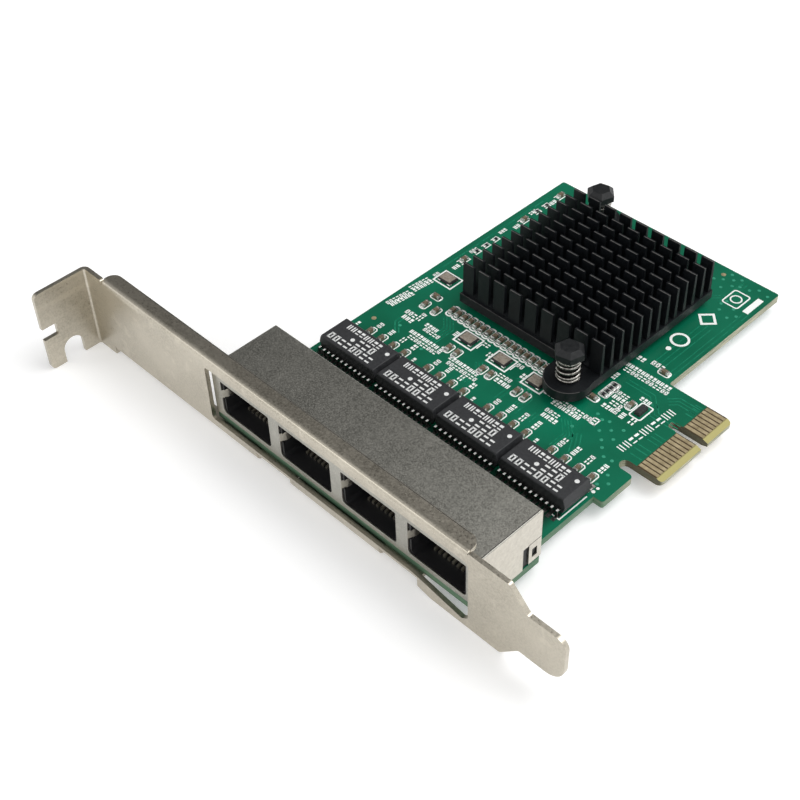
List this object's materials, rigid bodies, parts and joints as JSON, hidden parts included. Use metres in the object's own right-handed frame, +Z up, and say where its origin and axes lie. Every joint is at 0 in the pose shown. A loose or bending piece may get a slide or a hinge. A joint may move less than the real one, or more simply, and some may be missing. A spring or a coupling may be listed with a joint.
{
  "type": "network interface card",
  "caption": "Low-profile green network card on a full-height slot bracket, with a shielded jack row, magnetics, a black pin-fin heat sink and a gold edge.",
  "frame": {"origin": "centre of the bounding box's base, under the card as it lies with its component side up", "axes": "+X along the bracket from its screw tab to its tongue, which is the way the card goes into its slot; +Y from the bracket's outer face into the machine; +Z up out of the component side"},
  "size_m": [0.12, 0.11, 0.0184],
  "materials": {
    "bracket_steel": "nickel plated, satin",
    "shield_steel": "tin plated, fine grain",
    "screw_steel": "bright plated",
    "board_mask": "green solder mask over glass fibre",
    "contact_gold": "gold flashed",
    "housing_black": "moulded, fine grain",
    "contact_wire": "gold flashed",
    "solder_tin": "tinned",
    "module_black": "moulded epoxy",
    "sink_black": "black anodised",
    "pin_black": "moulded nylon",
    "spring_steel": "drawn wire",
    "chip_black": "moulded epoxy",
    "pad_grey": "soft silicone",
    "crystal_can": "lapped lid",
    "cap_ceramic": "fired ceramic",
    "resistor_black": "glazed"
  },
  "bodies": {
    "root": {"slot_bracket": "bracket_steel", "bracket_screws": "screw_steel", "circuit_board": "board_mask", "edge_contacts_top": "contact_gold", "edge_contacts_bottom": "contact_gold", "jack_shield": "shield_steel", "jack_housing": "housing_black", "jack_tails": "solder_tin", "heat_sink": "sink_black", "push_pin_near": "pin_black", "push_pin_far": "pin_black", "pin_spring_near": "spring_steel", "pin_spring_far": "spring_steel", "controller_chips": "chip_black", "thermal_pad": "pad_grey", "module_capacitors": "cap_ceramic", "sink_capacitors": "cap_ceramic", "crystal_capacitors": "cap_ceramic", "left_edge_capacitors": "cap_ceramic", "supply_capacitors": "cap_ceramic", "left_edge_resistors": "resistor_black", "resistor_network": "resistor_black", "supply_regulator": "chip_black", "jack_contacts_1": "contact_wire", "magnetics_1": "module_black", "magnetics_leads_1": "solder_tin", "crystal_1": "crystal_can", "jack_contacts_2": "contact_wire", "magnetics_2": "module_black", "magnetics_leads_2": "solder_tin", "crystal_2": "crystal_can", "jack_contacts_3": "contact_wire", "magnetics_3": "module_black", "magnetics_leads_3": "solder_tin", "crystal_3": "crystal_can", "jack_contacts_4": "contact_wire", "magnetics_4": "module_black", "magnetics_leads_4": "solder_tin", "crystal_4": "crystal_can"}
  },
  "joints": []
}
